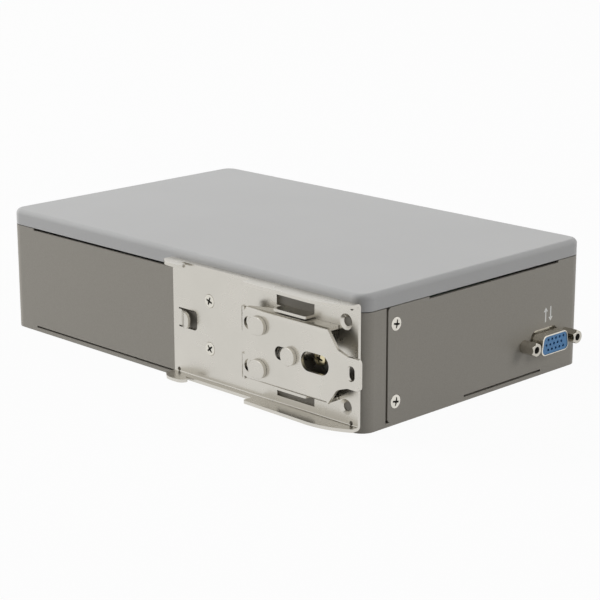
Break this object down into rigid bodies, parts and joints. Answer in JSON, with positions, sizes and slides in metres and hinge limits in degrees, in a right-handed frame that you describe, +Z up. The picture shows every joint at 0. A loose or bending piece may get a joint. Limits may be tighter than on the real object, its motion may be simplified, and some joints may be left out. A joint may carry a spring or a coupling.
{
  "type": "fanless industrial computer",
  "caption": "Slim fanless industrial computer in a sheet steel case with a cast heat sink cover, a sprung DIN-rail clip on one long face and a D-sub port on one short face.",
  "frame": {"origin": "centre of the base plate's underside", "axes": "+X along the long side towards the short face with the D-sub port, -Y towards the long face with the DIN-rail clip, +Z up through the heat sink cover"},
  "size_m": [0.2066, 0.1391, 0.05],
  "materials": {
    "lid_paint": "satin powder coat",
    "case_paint": "satin metallic powder coat",
    "clip_plating": "satin nickel plate",
    "screw_plating": "bright nickel plate",
    "yellow_zinc": "yellow zinc plate",
    "port_plating": "bright nickel plate",
    "plain_steel": "zinc plate",
    "blue_insulator": "matt",
    "black_insulator": "matt",
    "board_green": "solder mask",
    "chip_black": "matt",
    "pad_grey": "soft",
    "bare_aluminium": "machined",
    "contact_gold": "gold flash",
    "cable_grey": "ribbon sheath",
    "button_metal": "turned",
    "light_pipe": "clear",
    "cell_steel": "bright"
  },
  "bodies": {
    "housing": {"lid": "lid_paint", "base_plate": "case_paint", "rear_shell": "case_paint", "front_shell": "case_paint", "joint_strips": "plain_steel", "corner_posts": "plain_steel", "base_screws": "screw_plating", "panel_screws": "screw_plating", "bracket_nuts": "plain_steel", "clip_plate": "clip_plating", "latch_studs": "clip_plating", "latch_spring": "plain_steel", "clip_screws": "screw_plating", "tail_screw": "yellow_zinc", "clip_nuts": "plain_steel", "dio_shell": "port_plating", "dio_insert": "blue_insulator", "jackscrews": "port_plating", "dio_board": "board_green", "dio_board_posts": "plain_steel", "cable_headers": "black_insulator", "dio_cable": "cable_grey", "main_board": "board_green", "board_posts": "plain_steel", "board_screws": "screw_plating", "processor": "chip_black", "processor_pad": "pad_grey", "heat_block": "bare_aluminium", "lid_pad": "pad_grey", "block_screws": "screw_plating", "power_coils": "chip_black", "memory_socket": "black_insulator", "memory_module": "board_green", "drive_socket": "black_insulator", "drive_module": "board_green", "drive_post": "plain_steel", "drive_screw": "screw_plating", "cell_holder": "black_insulator", "coin_cell": "cell_steel", "lan_shield_1": "port_plating", "lan_shield_2": "port_plating", "lan_insert_1": "black_insulator", "lan_insert_2": "black_insulator", "usb_shell_1": "port_plating", "usb_shell_2": "port_plating", "usb_tongues_1": "black_insulator", "usb_tongues_2": "black_insulator", "video_shell": "port_plating", "video_tongue": "black_insulator", "dc_header": "black_insulator", "dc_pins": "contact_gold", "com_shell": "port_plating", "com_insert": "black_insulator", "power_bezel": "button_metal", "power_switch": "black_insulator", "status_board": "board_green", "status_board_posts": "plain_steel", "status_lights": "light_pipe"},
    "latch": {"clip_latch": "clip_plating"},
    "button": {"power_cap": "button_metal"}
  },
  "joints": [
    {"name": "latch_slide", "type": "slide", "parent": "housing", "child": "latch", "axis": [1, 0, 0], "range_m": [0, 0.005], "stiffness_N_per_m": 1500, "springref_m": -0.003, "deforming": ["latch_spring"]},
    {"name": "power_button", "type": "slide", "parent": "housing", "child": "button", "axis": [0, -1, 0], "range_m": [0, 0.0012], "stiffness_N_per_m": 800, "springref_m": -0.0005}
  ]
}
